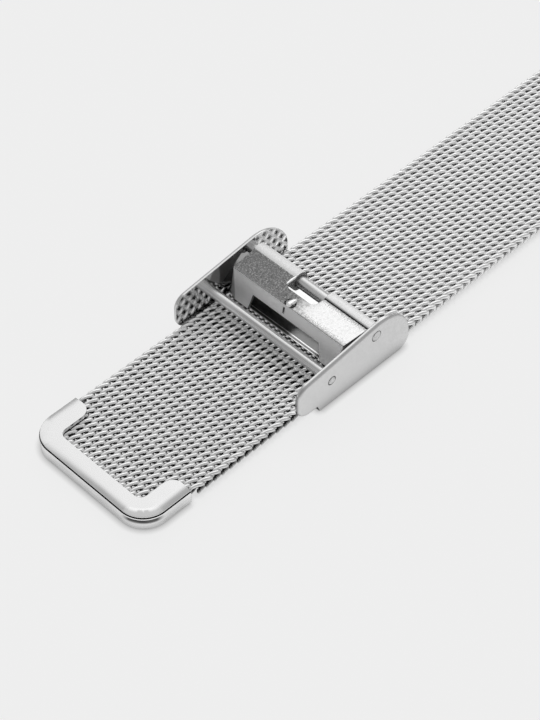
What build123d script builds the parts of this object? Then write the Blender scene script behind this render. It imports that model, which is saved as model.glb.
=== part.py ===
from build123d import *
import math
import os

os.makedirs("parts", exist_ok=True)

# A woven steel watch strap half: the long half, with its tail clip, the sliding
# clasp that grips it and the sprung bar that joins it to a watch case.
# +X runs from the tail tip to the watch, +Z is up and the strap lies flat on z = 0.
# The origin is the middle of the strap's footprint. Lengths are millimetres.

# Woven band
lug_gap = 20.0              # gap between the lugs of the watch that it is made for
lug_play = 0.2              # the band is this much narrower than the gap
mesh_thickness = 1.4
row_pitch = 1.26            # one wire coil of the weave along the strap
tail_coil_count = 64
flex_coil_count = 4
flex_count = 7
lug_coil_count = 4
mesh_inset = 0.6            # tail tip to the first coil
hinge_gap = 0.05            # running gap between a rounded end and its socket
mesh_edge_round = 0.35
coil_groove_width = 0.5     # dip between one coil and the next
coil_groove_depth = 0.2

# Tail clip: a tray folded up round the end of the weave, and the lid seated in it
clip_length = 7.5
clip_sheet = 0.5
clip_wall = 0.4
clip_front = 2.45           # breadth of the clip across the tail
clip_arm = 2.95             # breadth of each side arm
clip_corner = 3.5
clip_inner_corner = 1.0
clip_arm_round = 1.5
clip_crown_drop = 0.16      # the lid's top falls by this much towards its rim
clip_crown_reach = 1.1
clip_foot_chamfer = 0.35
clip_parting = 0.12         # dark line between lid and tray
clip_rim = 0.35             # the lid's rim below its top
clip_step = 0.1             # each layer at the tail is set back this far from the one below
mesh_seat = 0.05            # air between the weave and what holds it

# Sliding clasp: frame of one folded sheet
clasp_x = 24.0              # tail tip to the front of the cheeks
clasp_length = 19.1
clasp_clear = 0.15          # air between the band's edge and a cheek
cheek_sheet = 0.6
base_sheet = 0.45
base_clear = 0.1            # air between the base plate and the weave
cheek_height_front = 6.03
cheek_rise = 2.27           # how much higher the cheek's top line is at its rear
cheek_lip = 1.0             # lower edge of the cheek's nose above the base
nose_length = 3.3           # cheek nose in front of the base plate
nose_step = 0.4
rear_top_round_share = 0.65  # corner radii as shares of the cheek's height there
rear_low_round_share = 0.23
front_top_round_share = 0.3
front_low_round_share = 0.31
fold_round = 0.42           # fold between base plate and cheek

# Front bar and hinge bar, riveted in the cheeks
front_bar_setback = 5.5     # front of the cheeks to the bar
front_bar_drop = 2.58       # cheek's top line to the bar
front_bar_radius = 0.65
hinge_setback = 13.0
hinge_drop = 1.575
hinge_bar_radius = 0.8
rivet_shoulder = 0.12       # bar shank to rivet neck
rivet_clear = 0.02
rivet_dome = 0.06

# Locking lever, one folded sheet rolled round the hinge bar
lever_sheet = 0.45
lever_bore_clear = 0.05
lever_play = 1.1            # how much narrower the lever is than the gap between the cheeks
lever_side_clear = 0.15     # its gap to the -Y cheek, with the play taken up there
fold_reach = 4.55           # fold in front of the hinge
fold_rise = 0.92            # fold above the hinge
fold_narrowing = 0.35       # each end of the fold line inside the lever's end
panel_rise = 0.23           # panel above the fold line where it meets the knuckle
foot_reach = 5.3            # foot in front of the hinge
foot_clear = 0.06           # closed foot above the pressure plate
facet_width = 1.3           # breadth of a corner facet at the foot
facet_depth = 0.55          # how far the facet falls back
foot_depth = 0.9            # wing's length at the foot
wing_rear = 1.3             # wing's rear end in front of the hinge
wing_drop = 1.1             # wing's rear end below the hinge
cutout_drop = 1.97          # top of the cut-out below the fold
cutout_inset_top = 4.0      # cut-out's top corner to the lever's end
cutout_inset_foot = 3.2
notch_width = 4.8
notch_reach = 2.5           # front of the notch in front of the hinge
notch_round = 0.8
tab_width = 1.0
tab_length = 1.1
tab_height = 0.32
slit_width = 0.3
slit_height = 1.0
slit_offset = 0.55

# Pressure plate between the lever's feet and the weave
plate_sheet = 0.4
plate_clear = 0.03
plate_reach = 5.0           # plate's front edge in front of the hinge
plate_length = 7.8
plate_side_clear = 0.3
plate_corner = 1.2

# Case end: sleeve, sprung bar
bar_tube_radius = 0.9
bar_tube_bore = 0.7
bar_crimp = 0.25
bar_clear = 0.05
sleeve_leaf = 3.0
sleeve_edge_round = 0.2
plunger_length = 1.9
neck_radius = 0.55
flange_radius = 0.8
flange_width = 0.3
lug_air = 0.1               # each flange's air to its lug
tip_travel = 0.95           # how far a tip is pressed in to clear its lug
tip_length = 1.2
tip_radius = 0.35
tip_chamfer = 0.15
coil_wire = 0.13

# Shared
overrun = 1.0               # how far a cutter runs past the metal

# Widths
band_width = lug_gap - lug_play
clip_width = band_width - clip_step
cheek_inner = band_width / 2 + clasp_clear
cheek_outer = cheek_inner + cheek_sheet
lever_width = 2 * cheek_inner - lever_play
lever_shift = lever_side_clear - lever_play / 2
lever_fold_width = lever_width - 2 * fold_narrowing
flange_face = lug_gap / 2 - lug_air
bar_tube_half = flange_face - flange_width - tip_travel - bar_clear

# Heights
mesh_half = mesh_thickness / 2
weave_z = base_sheet + base_clear + mesh_half
mesh_top = weave_z + mesh_half
mesh_low = weave_z - mesh_half

# Stations along X, counted from the tail tip
tail_mesh_end = mesh_inset + tail_coil_count * row_pitch
flex_length = flex_coil_count * row_pitch
lug_mesh_start = tail_mesh_end + flex_count * flex_length
lug_mesh_end = lug_mesh_start + lug_coil_count * row_pitch
sleeve_radius = weave_z
lug_bar_x = lug_mesh_end + mesh_seat + sleeve_radius
strap_length = lug_bar_x + sleeve_radius
half_length = strap_length / 2

# Stations and heights in the clasp
front_bar_x = clasp_x + front_bar_setback
hinge_x = clasp_x + hinge_setback
cheek_slope = cheek_rise / clasp_length
front_bar_z = cheek_height_front + cheek_slope * front_bar_setback - front_bar_drop
hinge_z = cheek_height_front + cheek_slope * hinge_setback - hinge_drop
fold_x = hinge_x - fold_reach
fold_z = hinge_z + fold_rise
foot_x = hinge_x - foot_reach
cutout_top = fold_z - cutout_drop
notch_front_x = hinge_x - notch_reach
plate_front_x = hinge_x - plate_reach


def at(station):
    """X in the part's frame of a station counted from the tail tip."""
    return station - half_length


def side_plane(y):
    """Upright plane along the strap at y, whose sketches read X and Z."""
    return Plane.XZ.offset(-y)


def plane_through(a, b, c, outside):
    """Plane through three points whose normal points to the side of outside."""
    a, b, c = Vector(*a), Vector(*b), Vector(*c)
    normal = (b - a).cross(c - a)
    if normal.dot(Vector(*outside) - a) < 0:
        normal = normal * -1
    return Plane(origin=a, z_dir=normal)


# Tail clip
clip_half = clip_width / 2
clip_mesh_half = clip_half - clip_step - clip_wall - mesh_seat
clip_top = mesh_top + mesh_seat + clip_sheet
clip_low = mesh_low - mesh_seat - clip_sheet
parting_z = clip_top - clip_rim


def clip_plan(inset):
    """Plan of the clip before its opening is cut, drawn in by inset."""
    with BuildSketch() as plan:
        with Locations((at((clip_length + inset) / 2), 0)):
            Rectangle(clip_length - inset, clip_width - 2 * inset)
        fillet(plan.vertices().group_by(Axis.X)[0], clip_corner - inset)
    return plan.sketch


def clip_opening():
    """Plan of the opening between the arms, with the arms' rounded tips."""
    inner_width = clip_width - 2 * clip_arm
    with BuildSketch() as plan:
        with Locations((at((clip_front + clip_length + overrun) / 2), 0)):
            Rectangle(clip_length + overrun - clip_front, inner_width)
        with Locations((at(clip_length + overrun / 2), 0)):
            Rectangle(overrun, clip_width + 4 * overrun)
        across = plan.vertices().group_by(Axis.X)
        fillet(across[1].sort_by(Axis.Y)[1:3], clip_arm_round)
        fillet(plan.vertices().group_by(Axis.X)[0], clip_inner_corner)
    return plan.sketch


def clip_pocket(grow):
    """Plan of the crimped end of the weave inside the clip, grown by grow."""
    with BuildSketch() as plan:
        length = clip_length + mesh_seat - mesh_inset + grow
        with Locations((at(mesh_inset - grow + length / 2), 0)):
            Rectangle(length, 2 * (clip_mesh_half + grow))
        fillet(plan.vertices().group_by(Axis.X)[0], clip_corner - clip_step - clip_wall)
    return plan.sketch


with BuildPart() as clip_upper:
    lid_seat_z = mesh_top + mesh_seat
    with BuildSketch(Plane.XY.offset(parting_z)):
        add(clip_plan(clip_step))
    extrude(amount=clip_top - parting_z)
    crown = clip_upper.faces().sort_by(Axis.Z)[-1].edges().sort_by(Axis.X)[:-1]
    chamfer(crown, clip_crown_reach, clip_crown_drop, reference=clip_upper.faces().sort_by(Axis.Z)[-1])
    with BuildSketch(Plane.XY.offset(lid_seat_z)):
        add(clip_pocket(0))
    extrude(amount=parting_z - lid_seat_z)
    with BuildSketch(Plane.XY.offset(lid_seat_z)):
        add(clip_opening())
    extrude(amount=clip_top - lid_seat_z, mode=Mode.SUBTRACT)
clip_upper.part.label = "clip_upper"
export_step(clip_upper.part, "parts/clip_upper.step")

with BuildPart() as clip_lower:
    with BuildSketch(Plane.XY.offset(clip_low)):
        add(clip_plan(0))
    extrude(amount=parting_z - clip_parting - clip_low)
    sole = clip_lower.faces().sort_by(Axis.Z)[0].edges()
    chamfer(sole.sort_by(Axis.X)[:-1], clip_foot_chamfer)
    with BuildSketch(Plane.XY.offset(mesh_low - mesh_seat)):
        add(clip_pocket(mesh_seat))
    extrude(amount=parting_z - mesh_low, mode=Mode.SUBTRACT)
    with BuildSketch(Plane.XY.offset(clip_low)):
        add(clip_opening())
    extrude(amount=parting_z - clip_low, mode=Mode.SUBTRACT)
clip_lower.part.label = "clip_lower"
export_step(clip_lower.part, "parts/clip_lower.step")


# Woven stretches. Each is the plain body that its coils fill. Where the strap
# flexes, a stretch ends in a hollow socket and the next begins with a round nose,
# centred on the line where their two coils hook into each other.
def band_profile(start, end, nose, socket):
    """Side outline of a stretch between two stations."""
    with BuildSketch(Plane.XZ) as outline:
        with Locations((at((start + end) / 2), weave_z)):
            Rectangle(end - start, mesh_thickness)
        if nose:
            with Locations((at(start), weave_z)):
                Circle(mesh_half)
        if socket:
            with Locations((at(end), weave_z)):
                Circle(mesh_half + hinge_gap, mode=Mode.SUBTRACT)
    return outline.sketch


def round_band_edges(stretch):
    """Rounds the long edges, where the coils turn over."""
    long_edges = stretch.edges().filter_by(Axis.X).group_by(Axis.Y)
    fillet(long_edges[0] + long_edges[-1], mesh_edge_round)


def coil_grooves(first, count):
    """Side outlines of the dips between the coils, in a stretch's top and underside."""
    lines = [mesh_inset + (first + number) * row_pitch for number in range(1, count)]
    with BuildSketch(Plane.XZ) as dips:
        for face_z in (mesh_low, mesh_top):
            with Locations([(at(line), face_z) for line in lines]):
                Polygon(
                    (-coil_groove_width / 2, 0),
                    (0, -coil_groove_depth),
                    (coil_groove_width / 2, 0),
                    (0, coil_groove_depth),
                )
    return dips.sketch


with BuildPart() as mesh_tail:
    with BuildSketch(Plane.XZ):
        add(band_profile(clip_length + mesh_seat, tail_mesh_end, False, True))
    extrude(amount=band_width / 2, both=True)
    round_band_edges(mesh_tail)
    with BuildSketch(Plane.XY.offset(mesh_low)):
        add(clip_pocket(0))
    extrude(amount=mesh_thickness)
    first_bare_coil = math.ceil((clip_length - mesh_inset) / row_pitch)
    with BuildSketch(Plane.XZ):
        add(coil_grooves(first_bare_coil, tail_coil_count - first_bare_coil))
    extrude(amount=band_width, both=True, mode=Mode.SUBTRACT)
mesh_tail.part.label = "mesh_tail"
export_step(mesh_tail.part, "parts/mesh_tail.step")

for number in range(flex_count):
    start = tail_mesh_end + number * flex_length
    with BuildPart() as mesh_flex:
        with BuildSketch(Plane.XZ):
            add(band_profile(start, start + flex_length, True, True))
        extrude(amount=band_width / 2, both=True)
        round_band_edges(mesh_flex)
        with BuildSketch(Plane.XZ):
            add(coil_grooves(tail_coil_count + number * flex_coil_count, flex_coil_count))
        extrude(amount=band_width, both=True, mode=Mode.SUBTRACT)
    mesh_flex.part.label = f"mesh_flex_{number + 1}"
    export_step(mesh_flex.part, f"parts/mesh_flex_{number + 1}.step")

with BuildPart() as mesh_lug:
    with BuildSketch(Plane.XZ):
        add(band_profile(lug_mesh_start, lug_mesh_end, True, False))
    extrude(amount=band_width / 2, both=True)
    round_band_edges(mesh_lug)
    with BuildSketch(Plane.XZ):
        add(coil_grooves(tail_coil_count + flex_count * flex_coil_count, lug_coil_count))
    extrude(amount=band_width, both=True, mode=Mode.SUBTRACT)
mesh_lug.part.label = "mesh_lug"
export_step(mesh_lug.part, "parts/mesh_lug.step")

# Clasp frame: base plate with a cheek folded up at each side
clasp_rear = clasp_x + clasp_length
base_front = clasp_x + nose_length + nose_step
cheek_height_rear = cheek_height_front + cheek_rise

with BuildPart() as clasp_frame:
    with BuildSketch(side_plane(-cheek_inner)) as cheek:
        with BuildLine():
            Polyline(
                (at(base_front), 0),
                (at(clasp_rear), 0),
                (at(clasp_rear), cheek_height_rear),
                (at(clasp_x), cheek_height_front),
                (at(clasp_x), cheek_lip),
                (at(base_front - nose_step), cheek_lip),
                close=True,
            )
        make_face()
        rear = cheek.vertices().group_by(Axis.X)[-1].sort_by(Axis.Y)
        fillet(rear[-1], rear_top_round_share * cheek_height_rear)
        rear_low = cheek.vertices().group_by(Axis.Y)[0].sort_by(Axis.X)[-1]
        fillet(rear_low, rear_low_round_share * cheek_height_rear)
        front = cheek.vertices().group_by(Axis.X)[0].sort_by(Axis.Y)
        fillet(front[-1], front_top_round_share * cheek_height_front)
        front = cheek.vertices().group_by(Axis.X)[0].sort_by(Axis.Y)
        fillet(front[0], front_low_round_share * cheek_height_front)
    extrude(amount=cheek_sheet)
    mirror(about=Plane.XZ)
    base_rear = clasp_rear - rear_low_round_share * cheek_height_rear
    with BuildSketch() as base:
        with Locations((at((base_front + base_rear) / 2), 0)):
            Rectangle(base_rear - base_front, 2 * cheek_outer)
    extrude(amount=base_sheet)
    folds = clasp_frame.edges().filter_by(Axis.X).group_by(Axis.Z)[0].group_by(Axis.Y)
    fillet(folds[0] + folds[-1], fold_round)
    with BuildSketch(side_plane(-cheek_outer)) as rivet_holes:
        with Locations((at(front_bar_x), front_bar_z)):
            Circle(front_bar_radius - rivet_shoulder + rivet_clear)
        with Locations((at(hinge_x), hinge_z)):
            Circle(hinge_bar_radius - rivet_shoulder + rivet_clear)
    extrude(amount=-2 * cheek_outer, mode=Mode.SUBTRACT)
clasp_frame.part.label = "clasp_frame"
export_step(clasp_frame.part, "parts/clasp_frame.step")


def riveted_bar(station, height, radius):
    """Turned bar between the cheeks whose thinner necks are riveted in them."""
    neck = radius - rivet_shoulder
    with BuildPart() as bar:
        with BuildSketch(side_plane(0)):
            with Locations((at(station), height)):
                Circle(radius)
        extrude(amount=cheek_inner, both=True)
        with BuildSketch(side_plane(0)):
            with Locations((at(station), height)):
                Circle(neck)
        extrude(amount=cheek_outer + rivet_dome, both=True)
        ends = bar.faces().sort_by(Axis.Y)
        chamfer(ends[0].edges() + ends[-1].edges(), rivet_dome)
    return bar


front_bar = riveted_bar(front_bar_x, front_bar_z, front_bar_radius)
front_bar.part.label = "front_bar"
export_step(front_bar.part, "parts/front_bar.step")

hinge_bar = riveted_bar(hinge_x, hinge_z, hinge_bar_radius)
hinge_bar.part.label = "hinge_bar"
export_step(hinge_bar.part, "parts/hinge_bar.step")

# Pressure plate: lies on the weave under the lever's feet
plate_low = mesh_top + plate_clear
plate_top = plate_low + plate_sheet
with BuildPart() as pressure_plate:
    with BuildSketch(Plane.XY.offset(plate_low)) as plate_plan:
        with Locations((at(plate_front_x + plate_length / 2), 0)):
            Rectangle(plate_length, 2 * (cheek_inner - plate_side_clear))
        fillet(plate_plan.vertices().group_by(Axis.X)[0], plate_corner)
    extrude(amount=plate_sheet)
pressure_plate.part.label = "pressure_plate"
export_step(pressure_plate.part, "parts/pressure_plate.step")

# Locking lever: a cup of folded sheet, open below and behind, on a rolled knuckle
bore_radius = hinge_bar_radius + lever_bore_clear
knuckle_radius = bore_radius + lever_sheet
foot_z = plate_top + foot_clear
panel_z = fold_z + panel_rise


def lever_block(inset):
    """Closed block inside the lever's outer skin, drawn in by inset at its top,
    front, sides and corner facets. Drawn in, it runs past the open sides."""
    low = foot_z - (overrun if inset else 0)
    back = overrun if inset else 0
    half = lever_width / 2 - inset
    fold_half = lever_fold_width / 2 - inset
    lean = (fold_x - foot_x) / (fold_z - foot_z)
    front = foot_x + inset * math.hypot(1, lean) - lean * (foot_z - low)
    with BuildPart() as block:
        with BuildSketch(side_plane(lever_shift + half)):
            with BuildLine():
                Polyline(
                    (at(hinge_x + back), panel_z - inset),
                    (at(fold_x + inset * math.hypot(1, lean) - lean * inset), fold_z - inset),
                    (at(front), low),
                    (at(foot_x + foot_depth + 2 * back), low),
                    (at(hinge_x - wing_rear + 2 * back), hinge_z - wing_drop - back),
                    (at(hinge_x + back), hinge_z - back),
                    close=True,
                )
            make_face()
        extrude(amount=2 * half)
        for side in (1, -1):
            knuckle_end = (at(hinge_x), lever_shift + side * half, panel_z - inset)
            fold_end = (at(fold_x), lever_shift + side * fold_half, fold_z - inset)
            foot_end = (at(foot_x + facet_depth), lever_shift + side * half, foot_z)
            bend_x = foot_x + inset
            bend = (at(bend_x), lever_shift + side * (half - facet_width), foot_z)
            beyond = (at(foot_x), lever_shift + side * (half + lever_width), foot_z)
            split(bisect_by=plane_through(knuckle_end, fold_end, foot_end, beyond), keep=Keep.BOTTOM)
            fold_front = (at(fold_x + inset), lever_shift + side * fold_half, fold_z - inset)
            corner = (at(foot_x + facet_depth + inset), lever_shift + side * half, foot_z)
            split(bisect_by=plane_through(fold_front, bend, corner, beyond), keep=Keep.BOTTOM)
    return block.part


with BuildPart() as lever:
    add(lever_block(0))
    add(lever_block(lever_sheet), mode=Mode.SUBTRACT)
    with BuildSketch(side_plane(lever_shift + lever_width / 2)):
        with Locations((at(hinge_x), hinge_z)):
            Circle(knuckle_radius)
    extrude(amount=lever_width)
    with BuildSketch(side_plane(lever_shift + lever_width)):
        with Locations((at(hinge_x), hinge_z)):
            Circle(bore_radius)
    extrude(amount=2 * lever_width, mode=Mode.SUBTRACT)
    # Notch that bares the hinge bar for the other strap half's hook
    with BuildSketch(Plane.XY.offset(hinge_z - knuckle_radius - overrun)) as notch:
        notch_end = hinge_x + knuckle_radius + overrun
        with Locations((at((notch_front_x + notch_end) / 2), lever_shift)):
            Rectangle(notch_end - notch_front_x, notch_width)
        fillet(notch.vertices().group_by(Axis.X)[0], notch_round)
    extrude(amount=2 * (knuckle_radius + overrun), mode=Mode.SUBTRACT)
    # Cut-out between the feet
    with BuildSketch(Plane.YZ.offset(at(foot_x - overrun))):
        with BuildLine():
            Polyline(
                (lever_shift - lever_width / 2 + cutout_inset_top, cutout_top),
                (lever_shift + lever_width / 2 - cutout_inset_top, cutout_top),
                (lever_shift + lever_width / 2 - cutout_inset_foot, foot_z - overrun),
                (lever_shift - lever_width / 2 + cutout_inset_foot, foot_z - overrun),
                close=True,
            )
        make_face()
    extrude(amount=fold_x - foot_x + overrun + lever_sheet, mode=Mode.SUBTRACT)
    # Small raised nail tab on the fold, and the slit below it
    with BuildSketch(side_plane(lever_shift + tab_width / 2)):
        with BuildLine():
            Polyline(
                (at(fold_x), fold_z),
                (at(fold_x + tab_length / 3), fold_z + tab_height),
                (at(fold_x + tab_length), fold_z),
                (at(fold_x + tab_length / 2), fold_z - lever_sheet / 2),
                close=True,
            )
        make_face()
    extrude(amount=tab_width)
    with BuildSketch(Plane.YZ.offset(at(foot_x - overrun))):
        slit_low = fold_z - slit_offset - slit_height
        with Locations((lever_shift + tab_width / 2, slit_low + slit_height / 2)):
            Rectangle(slit_width, slit_height)
    extrude(amount=fold_x - foot_x + overrun + lever_sheet, mode=Mode.SUBTRACT)
lever.part.label = "lever"
export_step(lever.part, "parts/lever.step")

# Case end: a sleeve whose two leaves hold the last coils
sleeve_half = band_width / 2
bar_bore = bar_tube_radius + bar_clear
with BuildPart() as lug_sleeve:
    with BuildSketch(Plane.XZ) as sleeve_side:
        leaf_start = lug_mesh_end - sleeve_leaf
        with Locations((at((leaf_start + lug_bar_x) / 2), weave_z)):
            Rectangle(lug_bar_x - leaf_start, 2 * sleeve_radius)
        with Locations((at(lug_bar_x), weave_z)):
            Circle(sleeve_radius)
        with Locations((at((leaf_start - overrun + lug_mesh_end + mesh_seat) / 2), weave_z)):
            pocket_length = lug_mesh_end + mesh_seat - leaf_start + overrun
            Rectangle(pocket_length, mesh_thickness + 2 * mesh_seat, mode=Mode.SUBTRACT)
        with Locations((at(lug_bar_x), weave_z)):
            Circle(bar_bore, mode=Mode.SUBTRACT)
    extrude(amount=sleeve_half, both=True)
    leaf_edges = lug_sleeve.edges().filter_by(Axis.Y).group_by(Axis.X)[0].sort_by(Axis.Z)
    fillet(ShapeList([leaf_edges[0], leaf_edges[-1]]), sleeve_edge_round)
lug_sleeve.part.label = "lug_sleeve"
export_step(lug_sleeve.part, "parts/lug_sleeve.step")

# Sprung bar: a crimped tube, a coil spring and a sliding tip at each end
neck_bore = neck_radius + bar_clear
with BuildPart() as bar_tube:
    with BuildSketch(side_plane(0)):
        with Locations((at(lug_bar_x), weave_z)):
            Circle(bar_tube_radius)
    extrude(amount=bar_tube_half, both=True)
    with BuildSketch(side_plane(0)):
        with Locations((at(lug_bar_x), weave_z)):
            Circle(bar_tube_bore)
    extrude(amount=bar_tube_half - bar_crimp, both=True, mode=Mode.SUBTRACT)
    with BuildSketch(side_plane(0)):
        with Locations((at(lug_bar_x), weave_z)):
            Circle(neck_bore)
    extrude(amount=bar_tube_half + overrun, both=True, mode=Mode.SUBTRACT)
bar_tube.part.label = "bar_tube"
export_step(bar_tube.part, "parts/bar_tube.step")

plunger_radius = bar_tube_bore - bar_clear
plunger_out = bar_tube_half - bar_crimp - bar_clear
plunger_in = plunger_out - plunger_length
bar_tip_y = flange_face + tip_length
for side, name in ((1, "bar_tip_left"), (-1, "bar_tip_right")):
    with BuildPart() as bar_tip:
        for reach_in, reach_out, radius in (
            (plunger_in, plunger_out, plunger_radius),
            (plunger_out, flange_face - flange_width, neck_radius),
            (flange_face - flange_width, flange_face, flange_radius),
            (flange_face, bar_tip_y, tip_radius),
        ):
            with BuildSketch(side_plane(side * reach_in)):
                with Locations((at(lug_bar_x), weave_z)):
                    Circle(radius)
            extrude(amount=-side * (reach_out - reach_in))
        point = bar_tip.faces().sort_by(Axis.Y)[-1 if side > 0 else 0]
        chamfer(point.edges(), tip_chamfer)
    bar_tip.part.label = name
    export_step(bar_tip.part, f"parts/{name}.step")

with BuildPart() as bar_spring:
    with BuildSketch(side_plane(0)):
        with Locations((at(lug_bar_x), weave_z)):
            Circle(plunger_radius)
            Circle(plunger_radius - coil_wire, mode=Mode.SUBTRACT)
    extrude(amount=plunger_in - bar_clear, both=True)
bar_spring.part.label = "bar_spring"
export_step(bar_spring.part, "parts/bar_spring.step")

print("strap length", round(strap_length, 3), "weave height", round(weave_z, 3))
print("front bar", round(at(front_bar_x), 3), "hinge", round(at(hinge_x), 3), hinge_z)
print("lug bar", round(at(lug_bar_x), 3), "tip end", round(bar_tip_y, 3))
print("flex lines", [round(at(tail_mesh_end + k * flex_length), 3) for k in range(flex_count + 1)])
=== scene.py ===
import math

import bmesh
import bpy
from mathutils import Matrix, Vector


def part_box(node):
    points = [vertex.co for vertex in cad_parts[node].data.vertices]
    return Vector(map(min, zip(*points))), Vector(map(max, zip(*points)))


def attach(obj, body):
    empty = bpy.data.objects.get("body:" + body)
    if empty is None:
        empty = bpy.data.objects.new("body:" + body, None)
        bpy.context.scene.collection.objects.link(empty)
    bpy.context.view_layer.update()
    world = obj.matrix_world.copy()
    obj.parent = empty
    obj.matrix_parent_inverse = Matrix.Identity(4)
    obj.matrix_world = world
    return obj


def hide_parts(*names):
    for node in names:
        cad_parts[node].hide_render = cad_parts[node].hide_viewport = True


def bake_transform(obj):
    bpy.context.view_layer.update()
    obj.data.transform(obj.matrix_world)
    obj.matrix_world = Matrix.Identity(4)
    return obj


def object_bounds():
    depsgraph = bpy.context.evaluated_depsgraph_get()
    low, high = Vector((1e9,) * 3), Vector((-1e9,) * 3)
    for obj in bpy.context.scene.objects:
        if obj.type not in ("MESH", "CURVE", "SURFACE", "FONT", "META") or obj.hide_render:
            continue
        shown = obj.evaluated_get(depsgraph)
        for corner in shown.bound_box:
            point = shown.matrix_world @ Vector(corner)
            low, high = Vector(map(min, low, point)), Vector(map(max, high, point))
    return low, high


# Woven steel watch strap, long half, with its tail clip and sliding clasp.
# +X runs along the strap to the watch end, +Z is up, and the photo's near side is -Y.
# Everything is in metres.
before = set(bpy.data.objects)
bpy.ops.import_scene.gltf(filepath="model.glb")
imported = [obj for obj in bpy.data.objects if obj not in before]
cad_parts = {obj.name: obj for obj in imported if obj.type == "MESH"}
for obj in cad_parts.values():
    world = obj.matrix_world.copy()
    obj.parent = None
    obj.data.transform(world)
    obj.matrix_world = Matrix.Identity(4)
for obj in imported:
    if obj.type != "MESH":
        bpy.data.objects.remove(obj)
cad_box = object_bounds()

MM = 0.001


def box_middle(node):
    """Middle of a CAD piece's box."""
    low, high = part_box(node)
    return [(start + end) / 2 for start, end in zip(low, high)]


# Weave. Each coil is one flattened helix that runs across the strap, and its bends
# hook into those of the next coil.
ROW_PITCH = 1.26 * MM
LOOP_PITCH = 0.89 * MM          # one turn of a coil: 43 half turns fit the band
WIRE = 0.5 * MM
MESH_THICKNESS = 1.4 * MM
ARCH = 0.2                      # share of a strand's height lost towards its bends
STRAND_EASE = 0.25              # how much a strand's slant eases towards its bends
FIRST_COIL = 0.6 * MM           # tail tip to row 0
FIRST_ROW = 1                   # row 0 would be inside the clip's front wall
TAIL_ROWS = 64
FLEX_ROWS = 4
FLEX_COUNT = 7
LUG_ROWS = 4
CLIP_ROWS = 6                   # coils that are crimped narrower in the clip
CLIP_HALF_WIDTH = 9.3 * MM
TAIL_PIECE_ROWS = 16            # coils joined into one piece of the tail
WIRE_SIDES = 8
STRAIGHT_STEPS = 4
BEND_STEPS = 8
WIRE_END_GAP = 0.02 * MM        # cut end inside the strap's edge
END_REACH = 0.33 * MM           # last loop of a coil to the strap's edge
TURN_SLACK = 0.01               # share of a turn by which a coil may start too far out
HALF_TURN_SLACK = 0.2           # share of a half turn that may be missing at its end
# How a cut end turns outwards below the last loop: shares of the coil's flat half
# length, of its rise and of the reach to the edge.
CUT_END = (
    (0.78, -1.0, 0.0), (0.45, -0.98, 0.02), (0.2, -0.9, 0.14),
    (0.06, -0.82, 0.36), (0.0, -0.76, 0.66), (0.0, -0.74, 1.0),
)

# The coil spring in the bar
SPRING_TURNS = 9                # in each half
TURN_STEPS = 24
SPRING_WIRE = 0.16 * MM

# Places read from the CAD pieces
TAIL_TIP = cad_box[0][0]
BAND_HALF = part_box("mesh_flex_1")[1][1]
WEAVE_Z = box_middle("mesh_flex_1")[2]
FRONT_BAR_X, _, FRONT_BAR_Z = box_middle("front_bar")
HINGE_X, _, HINGE_Z = box_middle("hinge_bar")
CHEEK_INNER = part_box("front_bar")[1][1] - 0.66 * MM
PLATE_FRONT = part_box("pressure_plate")[0][0]
TRAY_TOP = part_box("clip_lower")[1][2]

# Weave's look: painted shade between a wire's two layers, and painted light past the clasp.
SHADED_DEPTHS = (0.14 * MM, 0.46 * MM)
FAR_LIGHT_X = (HINGE_X - 6 * MM, HINGE_X + 12 * MM)

# Clip: a lid domed towards its outer edge, over a tray with painted shade in its seam. The
# tray's rim has a painted highlight, and its near corner a painted reflection of a dark
# crescent.
LID_CORNER = 3.4 * MM
LID_HALF = 9.75 * MM
CROWN_REACH = 1.25 * MM
CROWN_SLOPE = 0.25
CROWN_FAR_SLOPE = 0.3 * CROWN_SLOPE
CROWN_FADE_Y = (-2 * MM, 8 * MM)
SEAM_DROP = 0.02 * MM           # tray's top to where the seam's darkness starts
SEAM_FADE = 0.01 * MM
NO_SEAM = 10 * MM               # a height above every piece
RIM_FADE = (0.1 * MM, 0.16 * MM)
CRESCENT_TOP = (0.14 * MM, 0.2 * MM)
CRESCENT_FOOT = (0.56 * MM, 0.9 * MM)
CRESCENT_X = (TAIL_TIP + 2.4 * MM, TAIL_TIP + 3.4 * MM)
CRESCENT_Y = (LID_CORNER - LID_HALF - 1.0 * MM, LID_CORNER - LID_HALF)
CRESCENT_DARKNESS = 0.84

# Clasp's frame: x, z and radius of the line round each rivet
RIVETS = ((FRONT_BAR_X, FRONT_BAR_Z, 0.58 * MM), (HINGE_X, HINGE_Z, 0.7 * MM))
RIVET_LINE = (0.03 * MM, 0.11 * MM)
CHEEK_FADE = (CHEEK_INNER + 0.1 * MM, CHEEK_INNER + 0.3 * MM)
MIRROR_ROUGHNESS = 0.09

# Pressure plate: painted shade towards its front, and painted highlights on its front lip
# and on a rib behind that
PLATE_LIT_X = (HINGE_X - 1.5 * MM, HINGE_X - 0.2 * MM)
PLATE_LIP = (0.12 * MM, 0.16 * MM)
PLATE_RIB = 0.5 * MM
PLATE_RIB_LINE = (0.06 * MM, 0.1 * MM)
PLATE_BRIGHT = 0.85

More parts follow.
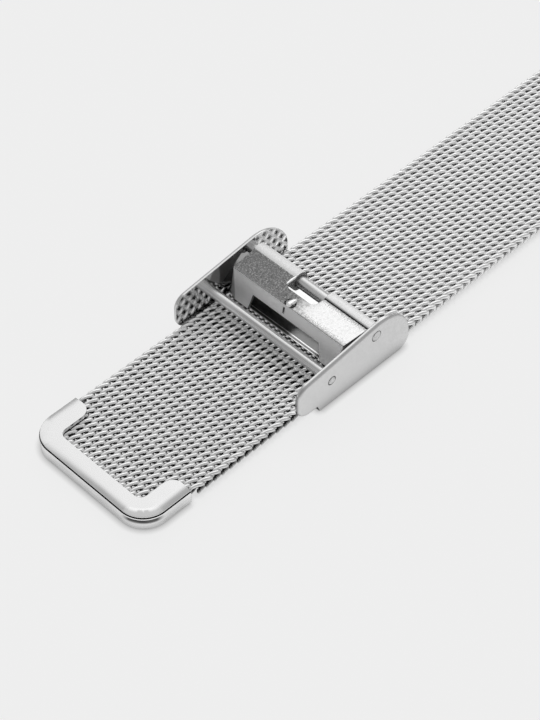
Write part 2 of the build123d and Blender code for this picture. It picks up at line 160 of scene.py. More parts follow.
# Lever: a panel that rises from the fold to the hinge
FOLD_X = HINGE_X - 4.55 * MM
FOLD_Z = 6.92 * MM
PANEL_RISE = 0.23 * MM
LEVER_MIDDLE = -0.4 * MM
NOTCH_FAR = LEVER_MIDDLE + 2.4 * MM
PANEL_Z = (6.75 * MM, 6.9 * MM)
PANEL_REAR_X = (HINGE_X - 0.72 * MM, HINGE_X - 0.6 * MM)
NEAR_PART_Y = (-3.0 * MM, -1.0 * MM)
# Painted dark reflection of the lever's far part: where it starts, and how ragged its edge
# is
DARK_REFLECTION_Y = (-3.0 * MM, -0.8 * MM)
RAGGED_BY_GRAIN = 1.2 * MM
RAGGED_BY_PATCHES = 0.8 * MM
FRAYED_BY_GRAIN = 0.45 * MM
FRINGE_REAR_X = HINGE_X - 0.8 * MM
FRINGE_WIDTH = 0.6 * MM
CREASE_X = HINGE_X - 0.66 * MM
CREASE_LINE = (0.06 * MM, 0.24 * MM)
TAB_RING_X = FOLD_X + 0.5 * MM
TAB_RING_RADIUS = 0.66 * MM
TAB_RING_LINE = (0.05 * MM, 0.16 * MM)
# The lever's face falls away towards its far end: it starts here, eases in over a
# length and then keeps an even slope.
FALL_START = -4.0 * MM
FALL_EASE = 4.0 * MM
FALL_SLOPE = 0.2

# Trim on the lever
RIDGE_SIDES = 16
RIDGE_STEPS = 16
RIDGE_THINNEST = 0.01           # least square of a ridge's swell, at its ends
TAB_START = -0.12 * MM
TAB_LENGTH = 1.6 * MM
TAB_SKEW = 0.14 * MM
TAB_LIFT = 0.02 * MM
TAB_HALF_WIDTH = 0.62 * MM
TAB_HEIGHT = 0.4 * MM
TAB_LEAN = 0.5
LIP_START = -2.2 * MM
LIP_LENGTH = 1.75 * MM
LIP_Y = NOTCH_FAR + 0.13 * MM
LIP_HALF_WIDTH = 0.2 * MM
LIP_HEIGHT = 0.13 * MM

# Shading of the solid pieces
CREASE_DEGREES = 28
LEVER_CREASE_DEGREES = 10
MERGE_DISTANCE = 0.001 * MM
FLAT_DEGREES = 0.5
FLATS_WEIGHT = 100
NOISE_SPREAD = (0.3, 0.7)       # where nearly all of a noise's values lie
BEVEL_SAMPLES = 6
TRUE_HEIGHT = 1.0               # bump distance for heights that are in metres

# Stage
FLOOR_REACH = 3.0
FLOOR_COLOR = 0.86
FLOOR_TONE = 0.9
FLOOR_LIFT = 0.88               # share of the floor that is seen as the even tone
CONTACT_SEEN = (0.9 * MM, 0.45)     # reach of the shadow, and its darkest share
CONTACT_MIRRORED = (1.8 * MM, 0.0)
CLOSENESS_SPREAD = (0.25, 0.95)
LAMP_PLACE = Vector((0.0, 0.12, 0.95))
LAMP_SIZE = 0.7
LAMP_POWER = 0.45
# The room: an even pale dome with two bright panels high behind the strap, a slightly
# darker front, and a dark strip of wall under the panels. Each row has an azimuth and
# an elevation, how far off it is still full and where it ends, in degrees, and its
# strength.
DOME = 0.5
HIGH_PANEL = (52, 42, 15, 36, 0.66)
LOW_PANEL = (26, 34, 10, 26, 0.42)
DARKER_FRONT = (225, 20, 20, 80, -0.08)
DARK_WALL = (56, 27, 5, 12, -0.7)

# Camera, as fitted to the photo
CAMERA_AZIMUTH = math.radians(-44.95)
CAMERA_ELEVATION = math.radians(48.21)
CAMERA_DISTANCE = 258.7 * MM
CAMERA_TARGET = Vector((TAIL_TIP + 28.46 * MM, -1.45 * MM, WEAVE_Z))
CLIP_START = 0.01
FOCAL_PIXELS = 2164.0
IMAGE_HEIGHT = 720.0
SENSOR = 36.0


# ------------------------------------------------------------ node helpers
def material(name, tone, roughness, metallic=1.0):
    """A grey material, metal by default, that pattern nodes can refine afterwards."""
    mat = bpy.data.materials.new(name)
    mat.use_nodes = True
    shader = mat.node_tree.nodes["Principled BSDF"]
    shader.inputs["Base Color"].default_value = (tone, tone, tone, 1.0)
    shader.inputs["Metallic"].default_value = metallic
    shader.inputs["Roughness"].default_value = roughness
    return mat


def calc(owner, operation, *values):
    """One step of arithmetic on numbers and node outputs of a material or world."""
    node = owner.node_tree.nodes.new("ShaderNodeMath")
    node.operation = operation
    for socket, value in zip(node.inputs, values):
        if isinstance(value, (int, float)):
            socket.default_value = value
        else:
            owner.node_tree.links.new(value, socket)
    return node.outputs["Value"]


def plus(owner, total, *others):
    for other in others:
        total = calc(owner, "ADD", total, other)
    return total


def minus(owner, first, second):
    return calc(owner, "SUBTRACT", first, second)


def times(owner, product, *others):
    for other in others:
        product = calc(owner, "MULTIPLY", product, other)
    return product


def higher(owner, first, second):
    return calc(owner, "MAXIMUM", first, second)


def lower(owner, first, second):
    return calc(owner, "MINIMUM", first, second)


def rest_of(owner, share):
    """What a share leaves of 1."""
    return minus(owner, 1.0, share)


def gap(owner, first, second):
    """How far two values are apart."""
    return calc(owner, "ABSOLUTE", minus(owner, first, second))


def diagonal(owner, first, second):
    """Distance made up of two distances at right angles."""
    squares = plus(owner, times(owner, first, first), times(owner, second, second))
    return calc(owner, "SQRT", squares)


def to_range(mat, value, low, high, start=0.0, end=1.0):
    """Maps value from start..end to low..high."""
    node = mat.node_tree.nodes.new("ShaderNodeMapRange")
    node.inputs["From Min"].default_value = start
    node.inputs["From Max"].default_value = end
    node.inputs["To Min"].default_value = low
    node.inputs["To Max"].default_value = high
    mat.node_tree.links.new(value, node.inputs["Value"])
    return node.outputs["Result"]


def spread(mat, noise, low, high):
    """Maps the usual values of a noise to low..high."""
    return to_range(mat, noise, low, high, *NOISE_SPREAD)


def object_noise(mat, scale, detail=3.0, stretch=(1.0, 1.0, 1.0)):
    """Noise over the object's own place, in turns per metre times stretch."""
    nodes, links = mat.node_tree.nodes, mat.node_tree.links
    place = nodes.new("ShaderNodeTexCoord")
    mapping = nodes.new("ShaderNodeMapping")
    mapping.inputs["Scale"].default_value = stretch
    noise = nodes.new("ShaderNodeTexNoise")
    noise.inputs["Scale"].default_value = scale
    noise.inputs["Detail"].default_value = detail
    links.new(place.outputs["Object"], mapping.inputs["Vector"])
    links.new(mapping.outputs["Vector"], noise.inputs["Vector"])
    return noise.outputs["Fac"]


def axis_of(mat, coordinate, axis):
    """X, Y or Z of one of the texture coordinates."""
    nodes, links = mat.node_tree.nodes, mat.node_tree.links
    place = nodes.new("ShaderNodeTexCoord")
    split = nodes.new("ShaderNodeSeparateXYZ")
    links.new(place.outputs[coordinate], split.inputs["Vector"])
    return split.outputs[axis]


def place_axis(mat, axis):
    """X, Y or Z of the object's own place, in metres."""
    return axis_of(mat, "Object", axis)


def facing(mat, axis):
    """How squarely the bare surface faces along an axis of the object, 0 to 1."""
    return calc(mat, "ABSOLUTE", axis_of(mat, "Normal", axis))


def link(mat, value, socket):
    mat.node_tree.links.new(value, mat.node_tree.nodes["Principled BSDF"].inputs[socket])


def grey(mat, value):
    """Uses value as a grey base colour."""
    join = mat.node_tree.nodes.new("ShaderNodeCombineColor")
    for channel in ("Red", "Green", "Blue"):
        mat.node_tree.links.new(value, join.inputs[channel])
    link(mat, join.outputs["Color"], "Base Color")


def bump(mat, value, distance, edge=0.0):
    """Raises the surface by up to distance where value is 1, and rounds its edges."""
    nodes, links = mat.node_tree.nodes, mat.node_tree.links
    node = nodes.new("ShaderNodeBump")
    node.inputs["Distance"].default_value = distance
    node.inputs["Strength"].default_value = 1.0
    links.new(value, node.inputs["Height"])
    if edge:
        rounding = nodes.new("ShaderNodeBevel")
        rounding.samples = BEVEL_SAMPLES
        rounding.inputs["Radius"].default_value = edge
        links.new(rounding.outputs["Normal"], node.inputs["Normal"])
    link(mat, node.outputs["Normal"], "Normal")


# ---------------------------------------------------------------- materials
def wire_steel():
    """Drawn wire, with painted shade between the two layers and painted light past the
    clasp.
    """
    mat = material("woven_wire", tone=0.8, roughness=0.26)
    shade = object_noise(mat, 900.0, detail=2.0)
    link(mat, spread(mat, shade, 0.17, 0.28), "Roughness")
    depth = gap(mat, place_axis(mat, "Z"), WEAVE_Z)
    # Painted shade: the deeper a wire lies between the two layers, the darker it is.
    depth_shade = to_range(mat, depth, 0.2, 0.9, *SHADED_DEPTHS)
    # Painted light: towards the watch end the painted shade is lifted.
    far_light = to_range(mat, place_axis(mat, "X"), 0.0, 0.95, *FAR_LIGHT_X)
    lifted = plus(mat, depth_shade, times(mat, rest_of(mat, depth_shade), far_light))
    grey(mat, times(mat, lifted, spread(mat, shade, 0.92, 1.06)))
    return mat


def lid_steel():
    """Chromed sheet of the clip's lid: nearly a mirror, domed towards its outer edge."""
    mat = material("lid_steel", tone=0.69, roughness=0.16)
    haze = object_noise(mat, 500.0, detail=4.0)
    link(mat, spread(mat, haze, 0.12, 0.2), "Roughness")
    across = place_axis(mat, "Y")
    outward = minus(mat, TAIL_TIP + LID_CORNER, place_axis(mat, "X"))
    sideways = minus(mat, calc(mat, "ABSOLUTE", across), LID_HALF - LID_CORNER)
    outside = diagonal(mat, higher(mat, outward, 0.0), higher(mat, sideways, 0.0))
    inside = lower(mat, higher(mat, outward, sideways), 0.0)
    from_edge = minus(mat, plus(mat, outside, inside), LID_CORNER)
    reach = higher(mat, plus(mat, from_edge, CROWN_REACH), 0.0)
    slope = to_range(mat, across, -CROWN_SLOPE, -CROWN_FAR_SLOPE, *CROWN_FADE_Y)
    dome = times(mat, reach, reach, 0.5 / CROWN_REACH, slope)
    bump(mat, dome, TRUE_HEIGHT, edge=0.06 * MM)
    return mat


def sheet_steel(name, shaded_above):
    """Sheet with fine streaks along its edges, painted shade inside the seam above a height.
    Its rim has a painted highlight; a painted reflection darkens the clip's near corner."""
    mat = material(name, tone=0.84, roughness=0.26)
    streaks = object_noise(mat, 1400.0, detail=4.0, stretch=(0.3, 0.3, 3.0))
    link(mat, spread(mat, streaks, 0.2, 0.38), "Roughness")
    height = place_axis(mat, "Z")
    below = minus(mat, shaded_above, height)
    # Painted highlight: the rim just under the seam is brighter.
    rim = to_range(mat, below, 0.14, 0.0, *RIM_FADE)
    # Painted reflection: a dark crescent at the tray's near corner.
    crescent = times(
        mat,
        to_range(mat, below, 0.0, 1.0, *CRESCENT_TOP),
        to_range(mat, below, 1.0, 0.0, *CRESCENT_FOOT),
        to_range(mat, place_axis(mat, "X"), 1.0, 0.0, *CRESCENT_X),
        to_range(mat, place_axis(mat, "Y"), 1.0, 0.0, *CRESCENT_Y),
        -CRESCENT_DARKNESS,
    )
    shade = plus(mat, spread(mat, streaks, 0.85, 1.0), rim, crescent)
    # Painted shade: dark inside the seam, above the given height.
    bare = to_range(mat, height, 1.0, 0.04, shaded_above, shaded_above + SEAM_FADE)
    grey(mat, times(mat, shade, bare))
    bump(mat, streaks, 0.006 * MM, edge=0.1 * MM)
    return mat


def frame_steel():
    """Satin outside, a mirror on the inner faces, a dark line round each rivet, and painted
    shade on the faces that do not face sideways.
    """
    mat = material("frame_steel", tone=0.88, roughness=0.3)
    grain = object_noise(mat, 2600.0, detail=3.0)
    off_middle = calc(mat, "ABSOLUTE", place_axis(mat, "Y"))
    outside = to_range(mat, off_middle, 0.0, 1.0, *CHEEK_FADE)
    satin = times(mat, spread(mat, grain, 0.3, 0.44), outside)
    mirror = times(mat, rest_of(mat, outside), MIRROR_ROUGHNESS)
    link(mat, plus(mat, mirror, satin), "Roughness")
    rings = []
    for rivet_x, rivet_z, radius in RIVETS:
        along = minus(mat, place_axis(mat, "X"), rivet_x)
        up = minus(mat, place_axis(mat, "Z"), rivet_z)
        off_ring = gap(mat, diagonal(mat, along, up), radius)
        rings.append(to_range(mat, off_ring, 1.0, 0.0, *RIVET_LINE))
    dark = times(mat, higher(mat, *rings), outside)
    # Painted shade: faces that do not face sideways, such as the cheeks' top edges, are
    # darker.
    edge_shade = to_range(mat, facing(mat, "Y"), 0.66, 1.0, 0.3, 0.8)
    plain = times(mat, to_range(mat, dark, 0.74, 0.06), edge_shade)
    grey(mat, plus(mat, plain, to_range(mat, outside, 0.16, 0.0)))
    bump(mat, times(mat, grain, outside), 0.004 * MM, edge=0.12 * MM)
    return mat


def bar_steel():
    """Drawn rod, with fine lines along it."""
    mat = material("bar_steel", tone=0.6, roughness=0.3)
    lines = object_noise(mat, 2600.0, detail=3.0, stretch=(1.0, 0.03, 1.0))
    link(mat, spread(mat, lines, 0.2, 0.36), "Roughness")
    grey(mat, to_range(mat, lines, 0.5, 0.74, 0.35, 0.65))
    bump(mat, lines, 0.012 * MM)
    return mat


def turned_steel():
    """Rod turned on a lathe, with fine lines round it."""
    mat = material("turned_steel", tone=0.78, roughness=0.28)
    lines = object_noise(mat, 4200.0, detail=2.0, stretch=(0.05, 1.0, 0.05))
    link(mat, spread(mat, lines, 0.2, 0.4), "Roughness")
    bump(mat, lines, 0.004 * MM)
    return mat


def plate_steel():
    """Polished sheet: painted shade at the front, painted highlights on its lip and rib
    there.
    """
    mat = material("plate_steel", tone=0.8, roughness=0.16)
    grain = object_noise(mat, 2400.0, detail=4.0)
    link(mat, spread(mat, grain, 0.12, 0.24), "Roughness")
    along = place_axis(mat, "X")
    # Painted shade under the lever: darker towards the front.
    behind = to_range(mat, along, 0.2, 0.74, *PLATE_LIT_X)
    from_front = minus(mat, along, PLATE_FRONT)
    # Painted highlights along the front lip and along the rib.
    lip = to_range(mat, from_front, PLATE_BRIGHT, 0.0, *PLATE_LIP)
    off_rib = gap(mat, from_front, PLATE_RIB)
    rib = to_range(mat, off_rib, PLATE_BRIGHT, 0.0, *PLATE_RIB_LINE)
    shade = higher(mat, behind, higher(mat, lip, rib))
    grey(mat, times(mat, shade, spread(mat, grain, 0.9, 1.05)))
    bump(mat, grain, 0.002 * MM, edge=0.08 * MM)
    return mat


def lever_fall(mat, across):
    """Height of the lever's face as it falls away towards its far end, in metres."""
    past = higher(mat, minus(mat, across, FALL_START), 0.0)
    easing = lower(mat, past, FALL_EASE)
    beyond = higher(mat, minus(mat, past, FALL_EASE), 0.0)
    eased = times(mat, easing, easing, 0.5 / FALL_EASE)
    return times(mat, plus(mat, eased, beyond), -FALL_SLOPE)


def near_part(mat, across):
    """Share of the panel's darkening at the lever's near part, none at its far part."""
    return to_range(mat, across, 0.8, 0.0, *NEAR_PART_Y)


def panel_darkening(mat, across, grain, patches):
    """How much darker the lever's panel is: a painted dark reflection, broken by bright
    specks, at its far part, and at its near part a ragged darker band along its edges, and
    blotches."""
    ragged = plus(
        mat,
        across,
        spread(mat, grain, -RAGGED_BY_GRAIN, RAGGED_BY_GRAIN),
        to_range(mat, patches, -RAGGED_BY_PATCHES, RAGGED_BY_PATCHES, 0.35, 0.65),
    )
    # Painted reflection: the far part is darkened as if it mirrored a dark wall, with bright
    # specks in it.
    specks = to_range(mat, grain, 0.34, 1.0, 0.45, 0.76)
    far_reflection = to_range(mat, ragged, 0.0, 1.0, *DARK_REFLECTION_Y)
    dark_reflection = times(mat, far_reflection, rest_of(mat, specks))
    from_fold = minus(mat, place_axis(mat, "X"), FOLD_X)
    from_rear = minus(mat, FRINGE_REAR_X, place_axis(mat, "X"))
    inward = lower(mat, from_fold, from_rear)
    frayed = plus(mat, inward, spread(mat, grain, -FRAYED_BY_GRAIN, FRAYED_BY_GRAIN))
    fringe = to_range(mat, frayed, 0.7, 0.0, 0.0, FRINGE_WIDTH)
    blotch = to_range(mat, patches, 0.1, 0.0, 0.38, 0.5)
    near = near_part(mat, across)
    return plus(mat, dark_reflection, times(mat, higher(mat, fringe, blotch), near))


def tab_ring(mat, across):
    """Dark line round the nail tab: painted shade at its foot."""
    along = minus(mat, place_axis(mat, "X"), TAB_RING_X)
    beside = minus(mat, across, LEVER_MIDDLE)
    off_ring = gap(mat, diagonal(mat, along, beside), TAB_RING_RADIUS)
    return to_range(mat, off_ring, 0.6, 0.0, *TAB_RING_LINE)


def lever_steel():
    """Stamped sheet: satin, with a grained panel that has a painted dark reflection at one
    end, and painted light and shade on its faces off the panel.
    """
    mat = material("lever_steel", tone=0.84, roughness=0.2)
    grain = object_noise(mat, 6500.0, detail=3.0)
    patches = object_noise(mat, 2600.0, detail=3.0)
    along, across = place_axis(mat, "X"), place_axis(mat, "Y")
    high = to_range(mat, place_axis(mat, "Z"), 0.0, 1.0, *PANEL_Z)
    on_panel = times(mat, high, to_range(mat, along, 1.0, 0.0, *PANEL_REAR_X))
    off_panel = rest_of(mat, on_panel)

    rough = times(mat, grain, on_panel, 0.006 * MM)
    bump(mat, plus(mat, lever_fall(mat, across), rough), TRUE_HEIGHT, edge=0.1 * MM)
    satin = spread(mat, patches, 0.56, 0.66)
    smoother = minus(mat, spread(mat, patches, 0.12, 0.2), satin)
    link(mat, plus(mat, satin, times(mat, smoother, on_panel)), "Roughness")

    darkening = plus(mat, panel_darkening(mat, across, grain, patches), tab_ring(mat, across))
    # Painted shade along the crease where the panel meets the knuckle, at the near part.
    crease = to_range(mat, gap(mat, along, CREASE_X), 1.0, 0.0, *CREASE_LINE)
    seam = times(mat, crease, high, near_part(mat, across))
    # Painted light and shade by facing, off the panel: faces turned sideways are darker, the
    # others lighter, and the front flange lighter still.
    sideways_shade_and_light = to_range(mat, facing(mat, "Y"), 0.24, -0.5, 0.14, 0.3)
    flange_light = to_range(mat, facing(mat, "X"), 0.0, 0.26, 0.5, 0.8)
    shade = minus(mat, minus(mat, 1.0, times(mat, darkening, on_panel)), seam)
    shade = plus(mat, shade, times(mat, plus(mat, sideways_shade_and_light, flange_light), off_panel))
    grey(mat, times(mat, shade, spread(mat, grain, 0.72, 0.8)))
    return mat


def burnished_steel():
    """Bright drawn metal of the stamped tab and lip, with small dents."""
    mat = material("burnished_steel", tone=0.95, roughness=0.22)
    dents = object_noise(mat, 2300.0, detail=2.0)
    link(mat, spread(mat, dents, 0.16, 0.34), "Roughness")
    grey(mat, to_range(mat, dents, 0.86, 1.0, 0.3, 0.5))
    bump(mat, dents, 0.05 * MM)
    return mat


wire_look = wire_steel()
lid_look = lid_steel()
tray_look = sheet_steel("tray_steel", TRAY_TOP - SEAM_DROP)
sleeve_look = sheet_steel("sleeve_steel", NO_SEAM)
frame_look = frame_steel()
bar_look = bar_steel()
turned_look = turned_steel()
plate_look = plate_steel()
lever_look = lever_steel()
burnished_look = burnished_steel()


# ------------------------------------------------------------ mesh helpers
def new_object(name, data):
    """Puts a mesh, lamp or camera into the scene."""
    thing = bpy.data.objects.new(name, data)
    bpy.context.scene.collection.objects.link(thing)
    return thing


def tube_piece(name, mesh, look, smooth_ends=False):
    """Turns a mesh of closed tubes into a piece."""
    bmesh.ops.recalc_face_normals(mesh, faces=mesh.faces)
    data = bpy.data.meshes.new(name)
    mesh.to_mesh(data)
    mesh.free()
    for face in data.polygons:
        face.use_smooth = smooth_ends or len(face.vertices) == 4
    data.materials.append(look)
    return new_object(name, data)


def heading(path, index):
    """The way from the point before to the point after one point of a path."""
    return path[min(index + 1, len(path) - 1)] - path[max(index - 1, 0)]


def circle(sides):
    """Cosine and sine at even steps round a circle."""
    turns = (2 * math.pi * side / sides for side in range(sides))
    return [(math.cos(turn), math.sin(turn)) for turn in turns]


def close_tube(mesh, rings):
    """Joins rings of vertices to one another and closes both ends."""
    for ring, following in zip(rings, rings[1:]):
        for side in range(len(ring)):
            beside = (side + 1) % len(ring)
            mesh.faces.new((ring[side], ring[beside], following[beside], following[side]))
    mesh.faces.new(rings[0][::-1])
    mesh.faces.new(rings[-1])


def add_wire(mesh, path, center, radius):
    """Adds a round wire along path, moved to center, with closed ends."""
    rings = []
    outward = Vector((0, 1, 0)).cross(path[1] - path[0]).normalized()
    for index, point in enumerate(path):
        along = heading(path, index).normalized()
        outward = (outward - along * outward.dot(along)).normalized()
        sideways = along.cross(outward)
        rings.append([
            mesh.verts.new(center + point + (outward * cosine + sideways * sine) * radius)
            for cosine, sine in circle(WIRE_SIDES)
        ])
    close_tube(mesh, rings)


# ------------------------------------------------------------------- weave
def slant(x):
    """How far the strand has moved across the strap at x: 0 to 1."""
    across = max(-1.0, min(1.0, x / (ROW_PITCH / 2)))
    eased = across * (1 + STRAND_EASE - STRAND_EASE * across * across)
    return min(1.0, (eased + 1.0) / 2.0)


def coil_section():
    """Half a turn of a coil, one strand and one bend, as (x, z, share of the half
    pitch passed) points."""
    rise = (MESH_THICKNESS - WIRE) / 2
    flat = (ROW_PITCH + WIRE) / 2 - rise
    points = []
    for step in range(STRAIGHT_STEPS):
        along = -1 + 2 * step / STRAIGHT_STEPS
        points.append((flat * along, rise * (1 - ARCH * along * along)))
    for step in range(BEND_STEPS):
        turn = math.pi * step / BEND_STEPS
        points.append((flat + rise * math.sin(turn), rise * (1 - ARCH) * math.cos(turn)))
    return [(x, z, slant(x) if z > 0 else 1.0) for x, z in points]


def coil_path(half_width):
    """Centreline of a coil from the +Y edge to the -Y edge, about its own axis. At
    both edges the cut end turns outwards."""
    edge = half_width - END_REACH
    lattice = BAND_HALF - END_REACH
    skipped = math.ceil((lattice - edge) / LOOP_PITCH - TURN_SLACK)
    start = lattice - skipped * LOOP_PITCH
    half_turns = int((start + edge) / (LOOP_PITCH / 2) + HALF_TURN_SLACK)
    end = start - half_turns * LOOP_PITCH / 2
    section = coil_section()
    flat, rise = -section[0][0], section[0][1]
    last = -1 if half_turns % 2 == 0 else 1
    start_reach = half_width - WIRE_END_GAP - start
    end_reach = half_width - WIRE_END_GAP + end
    points = [
        Vector((-flat * x, start + start_reach * out, rise * z))
        for x, z, out in reversed(CUT_END)
    ]
    points += [Vector((-x, start, z)) for x, z, _ in reversed(section) if x > flat]
    for half_turn in range(half_turns):
        side = 1 if half_turn % 2 == 0 else -1
        for x, z, share in section:
            y = start - (half_turn + share) * LOOP_PITCH / 2
            points.append(Vector((side * x, y, side * z)))
    points += [
        Vector((last * flat * x, end - end_reach * out, last * rise * z))
        for x, z, out in CUT_END
    ]
    return points


def weave_piece(name, first_row, row_count, body, node):
    """Joins the coils of some rows into one piece, shown in a CAD node's place."""
    mesh = bmesh.new()
    for row in range(first_row, first_row + row_count):
        half_width = CLIP_HALF_WIDTH if row < CLIP_ROWS else BAND_HALF
        center = Vector((TAIL_TIP + FIRST_COIL + (row + 0.5) * ROW_PITCH, 0, WEAVE_Z))
        add_wire(mesh, coil_path(half_width), center, WIRE / 2)
    piece = tube_piece(name, mesh, wire_look)
    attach(piece, body)
    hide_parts(node)


for number, first_row in enumerate(range(FIRST_ROW, TAIL_ROWS, TAIL_PIECE_ROWS), 1):
    row_count = min(TAIL_PIECE_ROWS, TAIL_ROWS - first_row)
    weave_piece(f"weave_tail_{number}", first_row, row_count, "tail", "mesh_tail")
for number in range(1, FLEX_COUNT + 1):
    first_row = TAIL_ROWS + (number - 1) * FLEX_ROWS
    weave_piece(
        f"weave_flex_{number}", first_row, FLEX_ROWS, f"flex_{number}", f"mesh_flex_{number}"
    )
last_rows = TAIL_ROWS + FLEX_COUNT * FLEX_ROWS
weave_piece("weave_case_end", last_rows, LUG_ROWS, "case_end", "mesh_lug")


# ----------------------------------------------------------- trim on lever
def panel_path(start, length, y, skew=0.0, lift=0.0):
    """Points on top of the lever's panel, from start on towards the hinge."""
    path = []
    for step in range(RIDGE_STEPS + 1):
        share = step / RIDGE_STEPS
        x = start + length * share
        top = FOLD_Z + PANEL_RISE * (x - FOLD_X) / (HINGE_X - FOLD_X)
        path.append(Vector((x, y - skew * share, top + lift)))
    return path


def ridge(name, path, half_width, height, lean=0.0):
    """Low rounded ridge on the lever, tapering to nothing at both ends. Lean is the
    share by which its far end is slimmer."""
    mesh = bmesh.new()
    rings = []
    for index, point in enumerate(path):
        sideways = heading(path, index).cross(Vector((0, 0, 1))).normalized()
        share = 2 * index / (len(path) - 1) - 1
        swell = math.sqrt(max(1 - share * share, RIDGE_THINNEST))
        swell *= 1 - lean * (share + 1) / 2
        ring = []
        for cosine, sine in circle(RIDGE_SIDES):
            offset = sideways * (cosine * half_width * swell)
            offset += Vector((0, 0, sine * height * swell))
            ring.append(mesh.verts.new(point + offset))
        rings.append(ring)
    close_tube(mesh, rings)
    piece = tube_piece(name, mesh, burnished_look, smooth_ends=True)
    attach(piece, "lever")


tab_path = panel_path(FOLD_X + TAB_START, TAB_LENGTH, LEVER_MIDDLE, TAB_SKEW, TAB_LIFT)
ridge("nail_tab", tab_path, TAB_HALF_WIDTH, TAB_HEIGHT, TAB_LEAN)
lip_path = panel_path(HINGE_X + LIP_START, LIP_LENGTH, LIP_Y)
ridge("notch_lip", lip_path, LIP_HALF_WIDTH, LIP_HEIGHT)


# ------------------------------------------------------------ solid pieces
def soft_piece(node, look, body, crease=CREASE_DEGREES):
    """Copy of a CAD node with clean shading on its flats and curves, shown in its place."""
    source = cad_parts[node]
    mesh = bmesh.new()
    mesh.from_mesh(source.data)
    mesh.transform(source.matrix_world)
    bmesh.ops.remove_doubles(mesh, verts=mesh.verts, dist=MERGE_DISTANCE)
    bmesh.ops.dissolve_limit(
        mesh, angle_limit=math.radians(FLAT_DEGREES), verts=mesh.verts, edges=mesh.edges
    )
    for face in mesh.faces:
        face.smooth = True
    for edge in mesh.edges:
        edge.smooth = edge.calc_face_angle(math.pi) < math.radians(crease)
    data = bpy.data.meshes.new(f"{node}_soft")
    mesh.to_mesh(data)
    mesh.free()
    data.materials.append(look)
    piece = new_object(f"{node}_soft", data)
    flats = piece.modifiers.new("flats", "WEIGHTED_NORMAL")
    flats.keep_sharp = True
    flats.weight = FLATS_WEIGHT
    graph = bpy.context.evaluated_depsgraph_get()
    piece.data = bpy.data.meshes.new_from_object(piece.evaluated_get(graph))
    piece.modifiers.clear()
    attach(piece, body)
    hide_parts(node)


soft_piece("clip_upper", lid_look, "tail")
soft_piece("clip_lower", tray_look, "tail")
soft_piece("clasp_frame", frame_look, "clasp")
soft_piece("pressure_plate", plate_look, "clasp")
soft_piece("front_bar", bar_look, "clasp")
soft_piece("hinge_bar", bar_look, "clasp")
soft_piece("lever", lever_look, "lever", LEVER_CREASE_DEGREES)
soft_piece("lug_sleeve", sleeve_look, "case_end")
soft_piece("bar_tube", turned_look, "spring_bar")
soft_piece("bar_tip_left", turned_look, "bar_tip_left")
soft_piece("bar_tip_right", turned_look, "bar_tip_right")


# ------------------------------------------------------------- coil spring
def half_spring(name, side):
    """Half of the bar's coil spring, from its middle to one tip, which squeezes it."""
    low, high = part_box("bar_spring")
    middle_x, _, middle_z = box_middle("bar_spring")
    middle = Vector((middle_x, 0, middle_z))
    radius = (high[2] - low[2] - SPRING_WIRE) / 2
    length = high[1] - SPRING_WIRE / 2
    steps = SPRING_TURNS * TURN_STEPS
    path = []
    for step in range(steps + 1):
        turn = 2 * math.pi * step / TURN_STEPS * side
        y = side * length * step / steps
        path.append(Vector((radius * math.cos(turn), y, radius * math.sin(turn))))
    mesh = bmesh.new()
    add_wire(mesh, path, middle, SPRING_WIRE / 2)
    piece = tube_piece(name, mesh, turned_look)
    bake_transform(piece)
    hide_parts("bar_spring")


half_spring("spring_left", 1)
half_spring("spring_right", -1)


# ------------------------------------------------------------------- stage
def open_share(mat, distance, lowest):
    """1 on open floor, down to lowest where the object covers it within distance."""
    closeness = mat.node_tree.nodes.new("ShaderNodeAmbientOcclusion")
    closeness.inputs["Distance"].default_value = distance
    return to_range(mat, closeness.outputs["AO"], lowest, 1.0, *CLOSENESS_SPREAD)


def floor_paper():
    """Matt paper, lifted to an even tone where it is seen directly or in metal. Both
    keep the shadow close to the object."""
    mat = material("floor", tone=FLOOR_COLOR, roughness=0.9, metallic=0.0)
    nodes, links = mat.node_tree.nodes, mat.node_tree.links
    path = nodes.new("ShaderNodeLightPath")
    seen, mirrored = path.outputs["Is Camera Ray"], path.outputs["Is Glossy Ray"]
    tone = plus(
        mat,
        times(mat, open_share(mat, *CONTACT_SEEN), seen),
        times(mat, open_share(mat, *CONTACT_MIRRORED), mirrored),
    )
    lift = nodes.new("ShaderNodeEmission")
    links.new(times(mat, tone, FLOOR_TONE), lift.inputs["Strength"])
    blend = nodes.new("ShaderNodeMixShader")
    links.new(times(mat, higher(mat, seen, mirrored), FLOOR_LIFT), blend.inputs["Fac"])
    links.new(nodes["Principled BSDF"].outputs["BSDF"], blend.inputs[1])
    links.new(lift.outputs["Emission"], blend.inputs[2])
    links.new(blend.outputs["Shader"], nodes["Material Output"].inputs["Surface"])
    return mat


floor_corners = [
    (x * FLOOR_REACH, y * FLOOR_REACH, 0) for x, y in ((-1, -1), (1, -1), (1, 1), (-1, 1))
]
floor_data = bpy.data.meshes.new("floor")
floor_data.from_pydata(floor_corners, [], [(0, 1, 2, 3)])
floor_data.materials.append(floor_paper())
floor = new_object("floor", floor_data)

lamp_data = bpy.data.lights.new("top_light", "AREA")
lamp_data.shape = "RECTANGLE"
lamp_data.size = lamp_data.size_y = LAMP_SIZE
lamp_data.energy = LAMP_POWER
lamp = new_object("top_light", lamp_data)
lamp.location = LAMP_PLACE
lamp.rotation_euler = (-LAMP_PLACE).to_track_quat("-Z", "Y").to_euler()

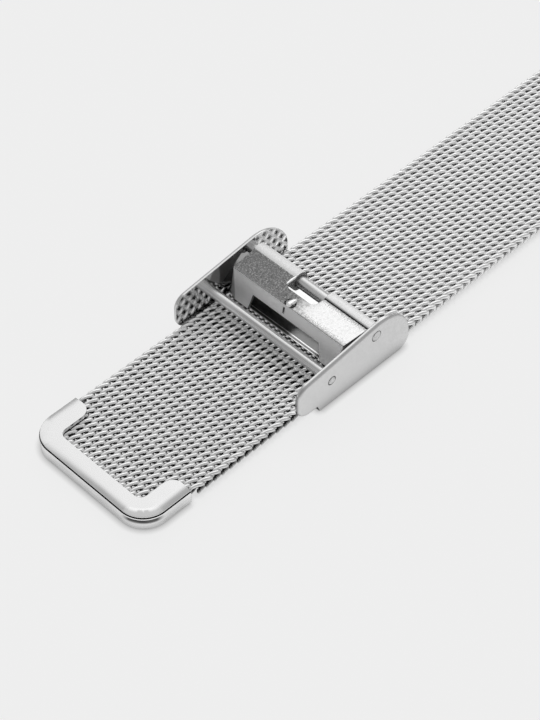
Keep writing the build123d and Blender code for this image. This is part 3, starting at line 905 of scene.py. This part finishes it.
world = bpy.data.worlds.new("studio")
bpy.context.scene.world = world
world.use_nodes = True
background = world.node_tree.nodes["Background"]
direction = world.node_tree.nodes.new("ShaderNodeTexCoord")


def toward(azimuth, elevation, full, gone, strength):
    """Strength within full degrees of a direction, falling to 0 at gone degrees."""
    nodes, links = world.node_tree.nodes, world.node_tree.links
    azimuth, elevation = math.radians(azimuth), math.radians(elevation)
    dot = nodes.new("ShaderNodeVectorMath")
    dot.operation = "DOT_PRODUCT"
    dot.inputs[1].default_value = (
        math.cos(azimuth) * math.cos(elevation),
        math.sin(azimuth) * math.cos(elevation),
        math.sin(elevation),
    )
    links.new(direction.outputs["Generated"], dot.inputs[0])
    fall = nodes.new("ShaderNodeMapRange")
    fall.interpolation_type = "SMOOTHSTEP"
    fall.inputs["From Min"].default_value = math.cos(math.radians(gone))
    fall.inputs["From Max"].default_value = math.cos(math.radians(full))
    links.new(dot.outputs["Value"], fall.inputs["Value"])
    return times(world, fall.outputs["Result"], strength)


glow = plus(world, toward(*HIGH_PANEL), toward(*LOW_PANEL), toward(*DARKER_FRONT), DOME)
room = times(world, glow, plus(world, toward(*DARK_WALL), 1.0))
background.inputs["Color"].default_value = (1, 1, 1, 1)
world.node_tree.links.new(room, background.inputs["Strength"])

# ------------------------------------------------------------------ camera
camera_data = bpy.data.cameras.new("camera")
camera_data.sensor_fit = "VERTICAL"
camera_data.sensor_height = SENSOR
camera_data.lens = SENSOR * FOCAL_PIXELS / IMAGE_HEIGHT
camera_data.clip_start = CLIP_START
backward = Vector((
    math.sin(CAMERA_AZIMUTH) * math.cos(CAMERA_ELEVATION),
    -math.cos(CAMERA_AZIMUTH) * math.cos(CAMERA_ELEVATION),
    math.sin(CAMERA_ELEVATION),
))
camera = new_object("camera", camera_data)
camera.location = CAMERA_TARGET + backward * CAMERA_DISTANCE
camera.rotation_euler = (-backward).to_track_quat("-Z", "Y").to_euler()
bpy.context.scene.camera = camera
bpy.context.scene.view_settings.view_transform = "Standard"
